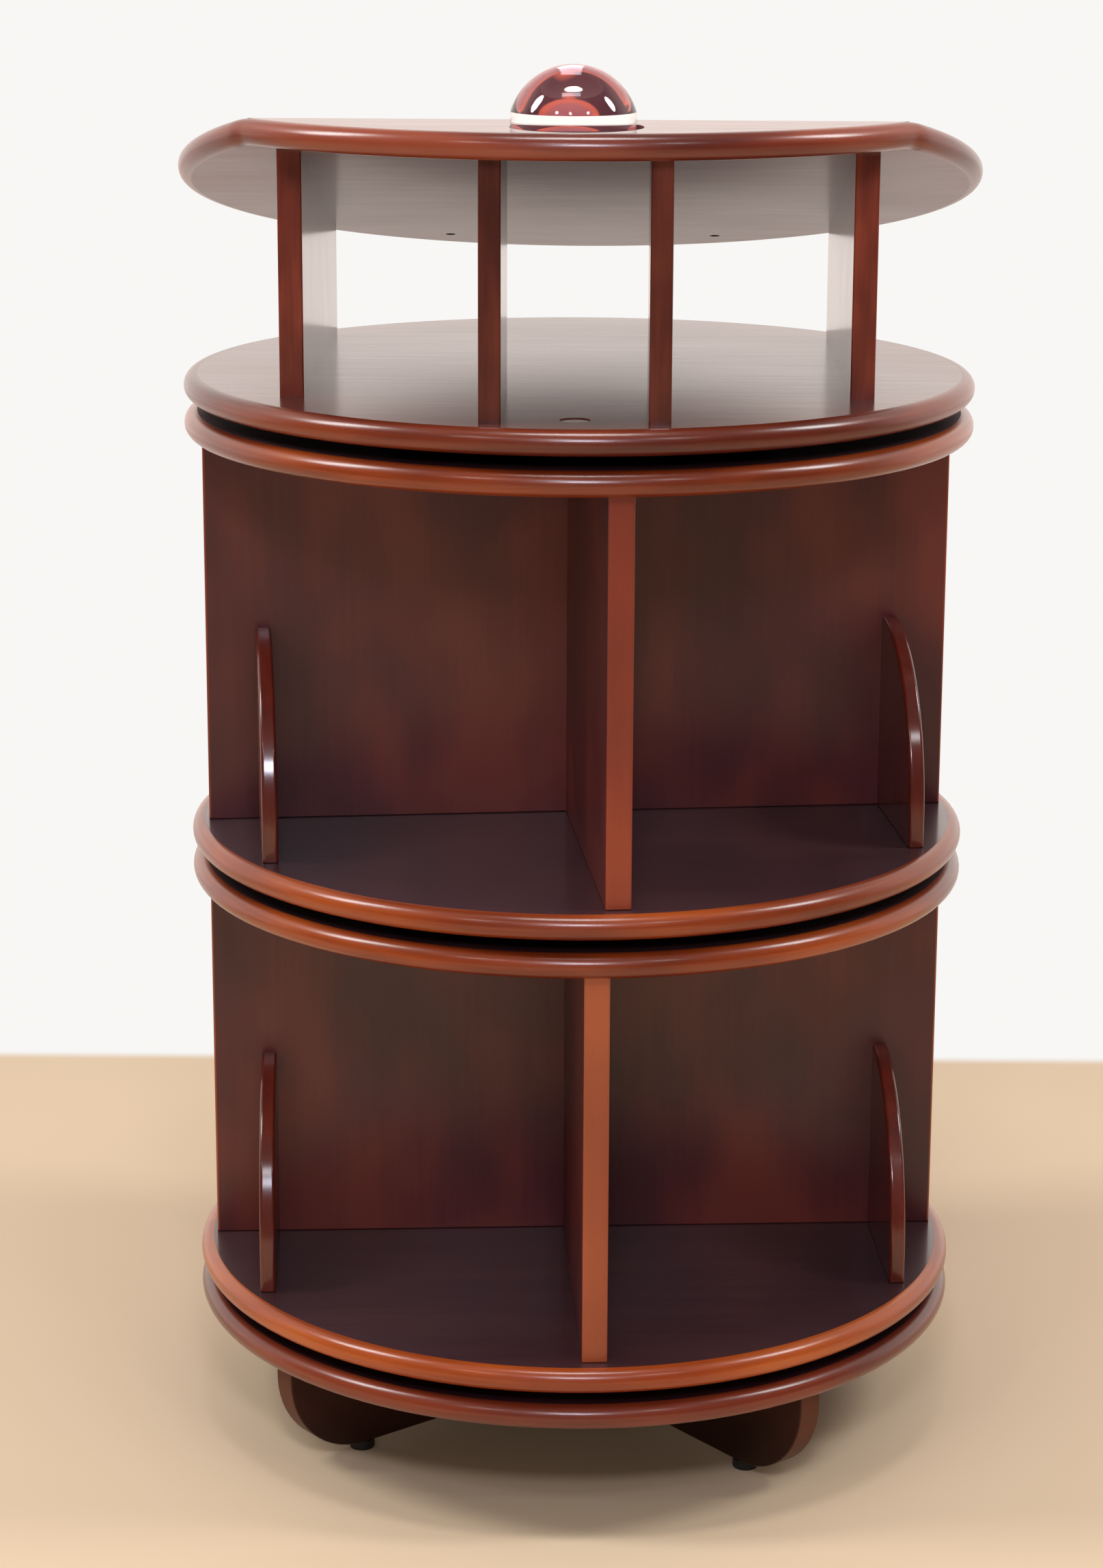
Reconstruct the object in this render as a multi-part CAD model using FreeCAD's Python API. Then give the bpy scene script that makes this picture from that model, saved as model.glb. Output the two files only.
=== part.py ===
import FreeCAD
import Part
import math
import os

# Revolving bookcase in mahogany, about 1.09 m tall and 610 mm across.
# A cross of two leg planks carries a fixed round base. Two round book tiers and a
# gallery with a flat strip and a sloping reading board turn above it on ball rings.
# Millimetres, +Z up, origin on the turning axis at floor level, front towards -Y.

# Discs, all of one size, with a half-round solid lipping
disc_radius = 305.0
disc_thickness = 19.0
lipping_flat = 0.5
swivel_gap = 10.0

# Cross of leg planks with a rounded lower corner at each end
leg_height = 82.0
leg_thickness = 20.0
leg_end_inset = 15.0
leg_corner_radius = 70.0
leg_turn_degrees = -6.0
leg_edge_radius = 1.5
glide_diameter = 20.0
glide_height = 8.0
glide_inset = 74.0
glide_edge_radius = 1.5
glide_pin_diameter = 3.0
glide_pin_length = 14.0
leg_screw_inner_radius = 80.0
leg_screw_end_inset = 50.0

# Book tiers: one wall from rim to rim and a divider on each side of it
shelf_clear_height = 305.0
panel_thickness = 19.0
wall_end_inset = 13.0
divider_end_inset = 19.0
panel_edge_radius = 1.5
lower_turn_degrees = 3.2
upper_turn_degrees = 6.2

# Book stops: quarter-round plates standing near the wall's outer ends
stop_thickness = 12.0
stop_end_inset = 44.5
stop_depth = 131.0
stop_straight_height = 23.0
stop_edge_radius = 2.5

# Gallery: four fins between its base and the top
gallery_turn_degrees = -0.6
gallery_clear_height = 185.0
outer_fin_side_inset = 95.5
outer_fin_front_inset = 152.0
outer_fin_rear_inset = 128.0
outer_fin_thickness = 18.0
inner_fin_offset = 60.0
inner_fin_front_inset = 29.0
inner_fin_depth = 150.0
inner_fin_thickness = 16.0
fin_edge_radius = 1.5

# Top: a flat strip at the front and a reading board that slopes down to the back
strip_depth = 127.0
board_slope_degrees = 15.0
ledge_length = 300.0
ledge_depth = 18.0
ledge_height = 20.0
ledge_rear_inset = 69.0
ledge_edge_radius = 3.0
ledge_screw_offset = 109.0
ledge_screw_sink = 1.0

# Glass magnifier lying in a round recess in the flat strip
recess_radius = 47.0
recess_depth = 4.0
magnifier_radius = 44.2
magnifier_rim_height = 14.5
magnifier_height = 47.0
magnifier_shift = -2.4
magnifier_edge_radius = 1.0
magnifier_seat_gap = 0.3

# Pale round plug set near the gallery base's front edge
plug_radius = 11.0
plug_thickness = 8.0
plug_sink = 1.5
plug_inset = 51.0

# Ball rings in each swivel gap
ring_floor_gap = 2.0
outer_ring_radius = 150.0
outer_ring_width = 19.0
ring_race_gap = 3.0
inner_ring_width = 18.0
ball_radius = 3.0
ball_race_clearance = 0.05
ball_count = 24
ring_screw_count = 6

# Fasteners
screw_shank_radius = 2.0
screw_head_radius = 4.0
ring_screw_length = 17.0
leg_screw_length = 60.0
ledge_screw_length = 31.0
dowel_radius = 4.0
dowel_length = 30.0
dowel_depth_in_disc = 12.0
dowel_depth_in_wall = 7.0
dowel_end_margin = 45.0
stop_dowel_radius = 2.5
stop_dowel_length = 20.0
stop_dowel_depth_in_wall = 7.0
stop_dowel_margin = 18.0
hole_clearance = 0.1

# Levels and lengths that follow from the values above
nose_depth = disc_thickness / 2
core_radius = disc_radius - nose_depth - lipping_flat
half_panel = panel_thickness / 2
leg_reach = disc_radius - leg_end_inset
leg_screw_outer_radius = leg_reach - leg_screw_end_inset
glide_radius = leg_reach - glide_inset
wall_reach = disc_radius - wall_end_inset
stop_centre_offset = wall_reach - stop_end_inset
divider_reach = disc_radius - divider_end_inset
tier_height = shelf_clear_height + 2 * disc_thickness
base_z = glide_height + leg_height
base_top_z = base_z + disc_thickness
lower_z = base_top_z + swivel_gap
lower_top_z = lower_z + tier_height
upper_z = lower_top_z + swivel_gap
upper_top_z = upper_z + tier_height
gallery_z = upper_top_z + swivel_gap
gallery_floor_z = gallery_z + disc_thickness
top_under_z = gallery_floor_z + gallery_clear_height
top_z = top_under_z + disc_thickness
outer_fin_offset = disc_radius - outer_fin_side_inset
outer_fin_front = outer_fin_front_inset - disc_radius
outer_fin_depth = disc_radius - outer_fin_rear_inset - outer_fin_front
inner_fin_front = inner_fin_front_inset - disc_radius
ledge_y = disc_radius - ledge_rear_inset
slope = math.radians(board_slope_degrees)
ridge_y = strip_depth - disc_radius
fold_y = ridge_y - disc_thickness * math.tan(slope / 2)
recess_y = ridge_y - strip_depth / 2
inner_ring_radius = outer_ring_radius - outer_ring_width - ring_race_gap
ball_circle_radius = inner_ring_radius + ring_race_gap / 2
ring_height = swivel_gap - ring_floor_gap

touching = 1e-6
up = FreeCAD.Vector(0, 0, 1)
down = FreeCAD.Vector(0, 0, -1)
origin = FreeCAD.Vector(0, 0, 0)
parts = {}


def polar(radius, degrees, z=0.0):
    angle = math.radians(degrees)
    return FreeCAD.Vector(radius * math.cos(angle), radius * math.sin(angle), z)


def box(x_range, y_range, z_range):
    corner = FreeCAD.Vector(x_range[0], y_range[0], z_range[0])
    width = x_range[1] - x_range[0]
    depth = y_range[1] - y_range[0]
    return Part.makeBox(width, depth, z_range[1] - z_range[0], corner)


def yz_prism(points, x_range):
    corners = [FreeCAD.Vector(x_range[0], y, z) for y, z in points]
    face = Part.Face(Part.makePolygon(corners + corners[:1]))
    return face.extrude(FreeCAD.Vector(x_range[1] - x_range[0], 0, 0))


def turned(shape, degrees):
    copy = shape.copy()
    copy.rotate(origin, up, degrees)
    return copy


def cut_all(shape, cutters):
    return shape.cut(Part.makeCompound(cutters))


# Edges parallel to Z, kept by a test on their own place, are rounded
def round_upright_edges(shape, radius, keep):
    chosen = []
    for edge in shape.Edges:
        ends = [vertex.Point for vertex in edge.Vertexes]
        if len(ends) == 2 and (ends[0] - ends[1]).cross(up).Length < touching and keep(ends[0]):
            chosen.append(edge)
    return shape.makeFillet(radius, chosen)


# Dowel from a joint face: buried one way by depth, the rest the other way
def dowel(face_point, into, depth, radius, length, clearance=0.0):
    start = face_point + into * (depth + clearance)
    return Part.makeCylinder(radius + clearance, length + 2 * clearance, start, into * -1)


def dowel_pair(face_point, into, depth, radius, length):
    pin = dowel(face_point, into, depth, radius, length)
    hole = dowel(face_point, into, depth, radius, length, hole_clearance)
    return pin, hole


# Countersunk screw: its flat head is at the given point and it runs along the direction
def flat_screw(point, direction, length, clearance=0.0):
    head = screw_head_radius + clearance
    shank = screw_shank_radius + clearance
    cone = Part.makeCone(head, shank, head - shank, point, direction)
    body = Part.makeCylinder(shank, length + clearance, point, direction)
    return cone.fuse(body)


def screw_pair(point, direction, length):
    return flat_screw(point, direction, length), flat_screw(point, direction, length, hole_clearance)


# Round board: a flat core and its half-round lipping
def disc_core(z):
    return Part.makeCylinder(core_radius, disc_thickness, FreeCAD.Vector(0, 0, z))


def disc_lipping(z):
    edge_radius = disc_radius - nose_depth
    low_in = FreeCAD.Vector(core_radius, 0, z)
    low_out = FreeCAD.Vector(edge_radius, 0, z)
    nose = FreeCAD.Vector(disc_radius, 0, z + nose_depth)
    high_out = FreeCAD.Vector(edge_radius, 0, z + disc_thickness)
    high_in = FreeCAD.Vector(core_radius, 0, z + disc_thickness)
    edges = [
        Part.makeLine(low_in, low_out),
        Part.Arc(low_out, nose, high_out).toShape(),
        Part.makeLine(high_out, high_in),
        Part.makeLine(high_in, low_in),
    ]
    return Part.Face(Part.Wire(edges)).revolve(origin, up, 360)


# Ball ring of one swivel gap, whose floor is at z
def plain_ring(outer, inner, z):
    shell = Part.makeCylinder(outer, ring_height, FreeCAD.Vector(0, 0, z))
    return shell.cut(Part.makeCylinder(inner, ring_height, FreeCAD.Vector(0, 0, z)))


def ball_race(z):
    return Part.makeTorus(ball_circle_radius, ball_radius + ball_race_clearance,
                          FreeCAD.Vector(0, 0, z + swivel_gap / 2), up)


def ring_screws(circle_radius, z, direction):
    step = 360.0 / ring_screw_count
    pairs = []
    for index in range(ring_screw_count):
        pairs.append(screw_pair(polar(circle_radius, index * step, z), direction, ring_screw_length))
    return [pair[0] for pair in pairs], [pair[1] for pair in pairs]


# The outer ring lies on the board below and carries the balls
def fixed_ring(z):
    circle_radius = outer_ring_radius - outer_ring_width / 2
    screws, holes = ring_screws(circle_radius, z + ring_height, down)
    ring = plain_ring(outer_ring_radius, outer_ring_radius - outer_ring_width, z)
    ring = cut_all(ring.cut(ball_race(z)), holes)
    balls = []
    for index in range(ball_count):
        place = polar(ball_circle_radius, index * 360.0 / ball_count, z + swivel_gap / 2)
        balls.append(Part.makeSphere(ball_radius, place))
    return ring, Part.makeCompound(balls), screws, holes


# The inner ring hangs under the board above
def turning_ring(z):
    circle_radius = inner_ring_radius - inner_ring_width / 2
    low_z = z + ring_floor_gap
    screws, holes = ring_screws(circle_radius, low_z, up)
    ring = plain_ring(inner_ring_radius, inner_ring_radius - inner_ring_width, low_z)
    ring = cut_all(ring.cut(ball_race(z)), holes)
    return ring, screws, holes


# One leg plank along X, before it is turned to its place
def leg_plank():
    low_z = glide_height
    straight = leg_reach - leg_corner_radius
    corner_z = low_z + leg_corner_radius
    bend = leg_corner_radius * math.sqrt(0.5)
    points = {}
    for side in (-1, 1):
        points[side] = [
            FreeCAD.Vector(side * straight, -leg_thickness / 2, low_z),
            FreeCAD.Vector(side * (straight + bend), -leg_thickness / 2, corner_z - bend),
            FreeCAD.Vector(side * leg_reach, -leg_thickness / 2, corner_z),
            FreeCAD.Vector(side * leg_reach, -leg_thickness / 2, base_z),
        ]
    edges = [Part.makeLine(points[-1][0], points[1][0])]
    for side in (1, -1):
        edges.append(Part.Arc(*points[side][:3]).toShape())
        edges.append(Part.makeLine(points[side][2], points[side][3]))
    edges.append(Part.makeLine(points[-1][3], points[1][3]))
    face = Part.Face(Part.Wire(Part.__sortEdges__(edges)))
    plank = face.extrude(FreeCAD.Vector(0, leg_thickness, 0))
    rounded = [edge for edge in plank.Edges if is_leg_end_edge(edge, straight)]
    return plank.makeFillet(leg_edge_radius, rounded)


# The curved and upright edges of a plank's ends, not those across it
def is_leg_end_edge(edge, straight):
    bounds = edge.BoundBox
    along_face = bounds.YLength < touching
    beyond_flat = min(abs(bounds.XMin), abs(bounds.XMax)) > straight - touching
    return along_face and beyond_flat and bounds.ZLength > touching


# Slot for the half-lap where the planks cross
def lap_slot(low):
    half = leg_thickness / 2
    mid_z = glide_height + leg_height / 2
    z_range = (glide_height, mid_z) if low else (mid_z, base_z)
    return box((-half, half), (-half, half), z_range)


def foot_glide(place):
    radius = glide_diameter / 2
    pad = Part.makeCylinder(radius, glide_height, place)
    low_edges = [edge for edge in pad.Edges if edge.BoundBox.ZMax < place.z + touching]
    pad = pad.makeFillet(glide_edge_radius, low_edges)
    top = place + up * glide_height
    pin = Part.makeCylinder(glide_pin_diameter / 2, glide_pin_length, top)
    hole = Part.makeCylinder(glide_pin_diameter / 2 + hole_clearance,
                             glide_pin_length + hole_clearance, top)
    return pad.fuse(pin), hole


def build_base():
    arm_angles = [45 + leg_turn_degrees + 90 * quarter for quarter in range(4)]
    glide_pairs = [foot_glide(polar(glide_radius, angle)) for angle in arm_angles]
    screws = []
    screw_holes = []
    for angle in arm_angles:
        for radius in (leg_screw_inner_radius, leg_screw_outer_radius):
            screw, hole = screw_pair(polar(radius, angle, base_top_z), down, leg_screw_length)
            screws.append(screw)
            screw_holes.append(hole)
    leg_cutters = [pair[1] for pair in glide_pairs] + screw_holes
    under = turned(leg_plank().cut(lap_slot(False)), arm_angles[0])
    over = turned(leg_plank().cut(lap_slot(True)), arm_angles[1])
    ring, balls, ring_fixings, ring_holes = fixed_ring(base_top_z)
    parts["leg_plank_under"] = cut_all(under, leg_cutters)
    parts["leg_plank_over"] = cut_all(over, leg_cutters)
    parts["foot_glides"] = Part.makeCompound([pair[0] for pair in glide_pairs])
    parts["base_disc"] = cut_all(disc_core(base_z), screw_holes + ring_holes)
    parts["base_disc_lipping"] = disc_lipping(base_z)
    parts["leg_screws"] = Part.makeCompound(screws)
    parts["base_fixed_ring"] = ring
    parts["base_ring_balls"] = balls
    parts["base_ring_screws"] = Part.makeCompound(ring_fixings)


# Wall and dividers of a tier, at no turn, standing on the shelf at floor_z
def tier_wall(floor_z):
    wall = box((-wall_reach, wall_reach), (-half_panel, half_panel),
               (floor_z, floor_z + shelf_clear_height))
    return round_upright_edges(wall, panel_edge_radius, lambda point: True)


def tier_divider(floor_z, side):
    near = side * half_panel
    far = side * divider_reach
    divider = box((-half_panel, half_panel), (min(near, far), max(near, far)),
                  (floor_z, floor_z + shelf_clear_height))
    return round_upright_edges(divider, panel_edge_radius, lambda point: abs(point.y - far) < touching)


# Places along the wall and the dividers where dowels cross the shelf and cap joints
def tier_dowel_places():
    places = []
    for x in (-wall_reach + dowel_end_margin, -2 * dowel_end_margin,
              2 * dowel_end_margin, wall_reach - dowel_end_margin):
        places.append((x, 0.0))
    for side in (-1, 1):
        places.append((0.0, side * (half_panel + dowel_end_margin)))
        places.append((0.0, side * (divider_reach - dowel_end_margin)))
    return places


def tier_dowels(floor_z):
    roof_z = floor_z + shelf_clear_height
    pairs = []
    for x, y in tier_dowel_places():
        for z, into in ((floor_z, down), (roof_z, up)):
            pairs.append(dowel_pair(FreeCAD.Vector(x, y, z), into,
                                    dowel_depth_in_disc, dowel_radius, dowel_length))
    for side in (-1, 1):
        into_wall = FreeCAD.Vector(0, -side, 0)
        margin = shelf_clear_height / 4 + side * 2 * dowel_radius
        for z in (floor_z + margin, roof_z - margin):
            pairs.append(dowel_pair(FreeCAD.Vector(0, side * half_panel, z), into_wall,
                                    dowel_depth_in_wall, dowel_radius, dowel_length))
    return pairs


# Stop outline in a plane across the wall: upright front edge, then a quarter round
def book_stop(floor_z, x_side, y_side):
    x_centre = x_side * stop_centre_offset
    low_x = x_centre - stop_thickness / 2
    near = y_side * half_panel
    far = y_side * (half_panel + stop_depth)
    bend_z = floor_z + stop_straight_height
    tip_z = bend_z + stop_depth
    bend = stop_depth * math.sqrt(0.5)
    foot_near = FreeCAD.Vector(low_x, near, floor_z)
    foot_far = FreeCAD.Vector(low_x, far, floor_z)
    bend_start = FreeCAD.Vector(low_x, far, bend_z)
    bend_middle = FreeCAD.Vector(low_x, near + y_side * bend, bend_z + bend)
    tip = FreeCAD.Vector(low_x, near, tip_z)
    edges = [
        Part.makeLine(foot_near, foot_far),
        Part.makeLine(foot_far, bend_start),
        Part.Arc(bend_start, bend_middle, tip).toShape(),
        Part.makeLine(tip, foot_near),
    ]
    plate = Part.Face(Part.Wire(edges)).extrude(FreeCAD.Vector(stop_thickness, 0, 0))
    front = [edge for edge in plate.Edges if is_stop_front_edge(edge, near, floor_z)]
    return plate.makeFillet(stop_edge_radius, front)


# The rim of a stop away from the wall and the shelf
def is_stop_front_edge(edge, near, floor_z):
    bounds = edge.BoundBox
    flat_in_plate = bounds.XLength < touching
    on_shelf = bounds.ZMax < floor_z + touching
    on_wall = max(abs(bounds.YMin - near), abs(bounds.YMax - near)) < touching
    return flat_in_plate and not on_shelf and not on_wall


def stop_dowels(floor_z, x_side, y_side):
    x = x_side * stop_centre_offset
    near = y_side * half_panel
    pairs = []
    for reach in (stop_dowel_margin, stop_depth - stop_dowel_margin):
        place = FreeCAD.Vector(x, near + y_side * reach, floor_z)
        pairs.append(dowel_pair(place, down, stop_dowel_length / 2, stop_dowel_radius,
                                stop_dowel_length))
    place = FreeCAD.Vector(x, near, floor_z + stop_depth - stop_dowel_margin)
    pairs.append(dowel_pair(place, FreeCAD.Vector(0, -y_side, 0), stop_dowel_depth_in_wall,
                            stop_dowel_radius, stop_dowel_length))
    return pairs


def build_tier(name, z, turn):
    floor_z = z + disc_thickness
    cap_z = floor_z + shelf_clear_height
    gap_z = z - swivel_gap
    tier = {}
    dowels = tier_dowels(floor_z)
    pins = []
    for y_side, y_name in ((-1, "front"), (1, "rear")):
        for x_side, x_name in ((-1, "left"), (1, "right")):
            pins_here = stop_dowels(floor_z, x_side, y_side)
            pins += pins_here
            stop = book_stop(floor_z, x_side, y_side)
            stop_holes = [pair[1] for pair in pins_here]
            tier["stop_" + y_name + "_" + x_name] = cut_all(stop, stop_holes)
    cutters = [pair[1] for pair in dowels + pins]
    hung_ring, hung_screws, hung_holes = turning_ring(gap_z)
    ring, balls, ring_fixings, ring_holes = fixed_ring(cap_z + disc_thickness)
    tier["shelf"] = cut_all(disc_core(z), cutters + hung_holes)
    tier["shelf_lipping"] = disc_lipping(z)
    tier["cap"] = cut_all(disc_core(cap_z), cutters + ring_holes)
    tier["cap_lipping"] = disc_lipping(cap_z)
    tier["wall"] = cut_all(tier_wall(floor_z), cutters)
    tier["divider_front"] = cut_all(tier_divider(floor_z, -1), cutters)
    tier["divider_rear"] = cut_all(tier_divider(floor_z, 1), cutters)
    tier["panel_dowels"] = Part.makeCompound([pair[0] for pair in dowels])
    tier["stop_dowels"] = Part.makeCompound([pair[0] for pair in pins])
    tier["turning_ring"] = hung_ring
    tier["fixed_ring"] = ring
    tier["ring_balls"] = balls
    tier["ring_screws"] = Part.makeCompound(hung_screws + ring_fixings)
    for piece, shape in tier.items():
        parts[name + "_" + piece] = turned(shape, turn)


# Underside of the top at a distance y from the axis: flat, then falling to the back
def top_underside(y):
    return top_under_z - max(0.0, y - fold_y) * math.tan(slope)


def tilt_with_board(shape):
    copy = shape.copy()
    copy.rotate(FreeCAD.Vector(0, ridge_y, top_z), FreeCAD.Vector(1, 0, 0), -board_slope_degrees)
    return copy


# Everything in front of the mitre plane between the strip and the board
def front_of_mitre():
    margin = strip_depth
    lean = math.tan(slope / 2)
    points = [
        (-2 * disc_radius, top_under_z - margin),
        (fold_y - margin * lean, top_under_z - margin),
        (ridge_y + margin * lean, top_z + margin),
        (-2 * disc_radius, top_z + margin),
    ]
    return yz_prism(points, (-2 * disc_radius, 2 * disc_radius))


def fin(x_centre, thickness, front_y, depth):
    back_y = front_y + depth
    outline = [(front_y, gallery_floor_z), (back_y, gallery_floor_z), (back_y, top_underside(back_y))]
    if front_y < fold_y < back_y:
        outline.append((fold_y, top_under_z))
    outline.append((front_y, top_underside(front_y)))
    plate = yz_prism(outline, (x_centre - thickness / 2, x_centre + thickness / 2))
    return round_upright_edges(plate, fin_edge_radius, lambda point: True)


# Dowels of one fin: two down into the gallery base and two square to the top's underside
def fin_dowels(x_centre, front_y, depth):
    pairs = []
    board_normal = FreeCAD.Vector(0, math.sin(slope), math.cos(slope))
    for y in (front_y + dowel_end_margin, front_y + depth - dowel_end_margin):
        floor_point = FreeCAD.Vector(x_centre, y, gallery_floor_z)
        roof_point = FreeCAD.Vector(x_centre, y, top_underside(y))
        into_top = board_normal if y > fold_y else up
        for point, into in ((floor_point, down), (roof_point, into_top)):
            pairs.append(dowel_pair(point, into, dowel_depth_in_disc, dowel_radius, dowel_length))
    return pairs


def book_ledge():
    ledge = box((-ledge_length / 2, ledge_length / 2),
                (ledge_y - ledge_depth / 2, ledge_y + ledge_depth / 2),
                (top_z, top_z + ledge_height))
    free_edges = [edge for edge in ledge.Edges if edge.BoundBox.ZMax > top_z + touching]
    return ledge.makeFillet(ledge_edge_radius, free_edges)


def ledge_screw_pairs():
    pairs = []
    for side in (-1, 1):
        head_point = FreeCAD.Vector(side * ledge_screw_offset, ledge_y,
                                    top_under_z + ledge_screw_sink)
        pairs.append(screw_pair(head_point, up, ledge_screw_length))
    return pairs


# Well below each sunk screw head
def ledge_screw_wells():
    wells = []
    for side in (-1, 1):
        mouth = FreeCAD.Vector(side * ledge_screw_offset, ledge_y, top_under_z)
        wells.append(Part.makeCylinder(screw_head_radius + hole_clearance, ledge_screw_sink, mouth))
    return wells


# Magnifier: short round rim with a part of a ball on it
def magnifier():
    cap_height = magnifier_height - magnifier_rim_height
    ball = (magnifier_radius ** 2 + cap_height ** 2) / (2 * cap_height)
    seat_z = top_z - recess_depth + magnifier_seat_gap
    place = FreeCAD.Vector(magnifier_shift, recess_y, seat_z)
    rim = Part.makeCylinder(magnifier_radius, magnifier_height, place)
    low_edges = [edge for edge in rim.Edges if edge.BoundBox.ZMax < seat_z + touching]
    rim = rim.makeFillet(magnifier_edge_radius, low_edges)
    return rim.common(Part.makeSphere(ball, place + up * (magnifier_height - ball)))


def front_plug(z):
    place = FreeCAD.Vector(0, plug_inset - disc_radius, z - plug_sink - plug_thickness)
    plug = Part.makeCylinder(plug_radius, plug_thickness, place)
    hole = Part.makeCylinder(plug_radius + hole_clearance, plug_thickness + plug_sink, place)
    return plug, hole


def build_gallery():
    fins = [
        ("fin_outer_left", -outer_fin_offset, outer_fin_thickness, outer_fin_front, outer_fin_depth),
        ("fin_inner_left", -inner_fin_offset, inner_fin_thickness, inner_fin_front, inner_fin_depth),
        ("fin_inner_right", inner_fin_offset, inner_fin_thickness, inner_fin_front, inner_fin_depth),
        ("fin_outer_right", outer_fin_offset, outer_fin_thickness, outer_fin_front, outer_fin_depth),
    ]
    dowels = []
    for name, x_centre, thickness, front_y, depth in fins:
        dowels += fin_dowels(x_centre, front_y, depth)
    cutters = [pair[1] for pair in dowels]
    hung_ring, hung_screws, hung_holes = turning_ring(upper_top_z)
    plug, plug_hole = front_plug(gallery_floor_z)
    gallery = top_pieces(cutters)
    for name, x_centre, thickness, front_y, depth in fins:
        gallery[name] = cut_all(fin(x_centre, thickness, front_y, depth), cutters)
    gallery["gallery_base"] = cut_all(disc_core(gallery_z), cutters + hung_holes + [plug_hole])
    gallery["gallery_base_lipping"] = disc_lipping(gallery_z)
    gallery["front_plug"] = plug
    gallery["gallery_dowels"] = Part.makeCompound([pair[0] for pair in dowels])
    gallery["gallery_turning_ring"] = hung_ring
    gallery["gallery_ring_screws"] = Part.makeCompound(hung_screws)
    gallery["magnifier"] = magnifier()
    for name, shape in gallery.items():
        parts[name] = turned(shape, gallery_turn_degrees)


def top_pieces(dowel_holes):
    mitre = front_of_mitre()
    recess = Part.makeCylinder(recess_radius, recess_depth,
                               FreeCAD.Vector(0, recess_y, top_z - recess_depth))
    screw_pairs = ledge_screw_pairs()
    screw_holes = [pair[1] for pair in screw_pairs] + ledge_screw_wells()
    board = tilt_with_board(cut_all(disc_core(top_under_z), screw_holes)).cut(mitre)
    screws = Part.makeCompound([pair[0] for pair in screw_pairs])
    return {
        "top_strip": cut_all(disc_core(top_under_z).common(mitre), dowel_holes + [recess]),
        "top_strip_lipping": disc_lipping(top_under_z).common(mitre),
        "reading_board": cut_all(board, dowel_holes),
        "reading_board_lipping": tilt_with_board(disc_lipping(top_under_z)).cut(mitre),
        "book_ledge": tilt_with_board(cut_all(book_ledge(), screw_holes)),
        "ledge_screws": tilt_with_board(screws),
    }


def export_parts():
    os.makedirs("parts", exist_ok=True)
    for name, shape in parts.items():
        if not shape.isValid():
            raise ValueError(name + " is not a valid shape")
        shape.exportStep("parts/" + name + ".step")
        print(name, len(shape.Solids), "solids", round(shape.Volume / 1000.0, 1), "cm3")


build_base()
build_tier("lower", lower_z, lower_turn_degrees)
build_tier("upper", upper_z, upper_turn_degrees)
build_gallery()
export_parts()
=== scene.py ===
import bmesh
import bpy
import math
from mathutils import Matrix, Vector


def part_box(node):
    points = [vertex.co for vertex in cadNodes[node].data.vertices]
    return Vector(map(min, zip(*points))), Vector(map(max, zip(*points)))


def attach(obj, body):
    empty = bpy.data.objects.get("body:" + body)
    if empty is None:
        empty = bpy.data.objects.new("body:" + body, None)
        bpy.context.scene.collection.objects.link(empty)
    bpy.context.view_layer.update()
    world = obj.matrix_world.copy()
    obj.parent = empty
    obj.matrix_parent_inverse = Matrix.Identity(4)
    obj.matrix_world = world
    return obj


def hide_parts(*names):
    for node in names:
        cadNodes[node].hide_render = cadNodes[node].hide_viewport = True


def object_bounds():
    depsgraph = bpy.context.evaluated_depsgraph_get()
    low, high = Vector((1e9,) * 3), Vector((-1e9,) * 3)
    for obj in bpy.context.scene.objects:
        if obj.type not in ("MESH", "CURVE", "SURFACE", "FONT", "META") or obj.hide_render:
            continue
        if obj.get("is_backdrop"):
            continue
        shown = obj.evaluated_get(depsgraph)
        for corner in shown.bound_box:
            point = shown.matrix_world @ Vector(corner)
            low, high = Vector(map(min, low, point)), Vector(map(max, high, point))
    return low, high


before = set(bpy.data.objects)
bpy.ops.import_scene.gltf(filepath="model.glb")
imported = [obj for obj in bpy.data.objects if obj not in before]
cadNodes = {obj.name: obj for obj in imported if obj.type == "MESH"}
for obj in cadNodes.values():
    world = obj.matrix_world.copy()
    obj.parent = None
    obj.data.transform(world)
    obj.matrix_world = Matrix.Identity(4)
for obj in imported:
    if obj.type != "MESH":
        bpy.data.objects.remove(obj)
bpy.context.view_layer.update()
print("frame loaded,", len(cadNodes), "CAD nodes")

mm = 0.001  # the scene is in metres
tiny = 0.1 * mm  # a point this close to a level counts as on it

# How far the turning parts and the two leg planks stand round in the photograph, in degrees
turns = {"base": 0.0, "lower_tier": 3.2, "upper_tier": 6.2, "gallery": -0.6}
legAngles = (39, 129)

boardRadius = 305 * mm
tiers = {"lower": {"turn": turns["lower_tier"], "floor": 138 * mm, "roof": 443 * mm},
         "upper": {"turn": turns["upper_tier"], "floor": 491 * mm, "roof": 796 * mm}}

# Heights of the faces that look into the swivel gaps
gapFaces = {"base": (109 * mm,), "lower": (119 * mm, 462 * mm), "upper": (472 * mm, 815 * mm),
            "gallery": (825 * mm,)}

# Where the sloping reading board folds down from the flat strip
ridge = {"y": -178 * mm, "top": 1048 * mm, "slope": 15.0}


def linearColour(hexCode):
    channels = []
    for start in (1, 3, 5):
        value = int(hexCode[start:start + 2], 16) / 255
        channels.append(value / 12.92 if value <= 0.04045 else ((value + 0.055) / 1.055) ** 2.4)
    return (*channels, 1.0)


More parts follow.
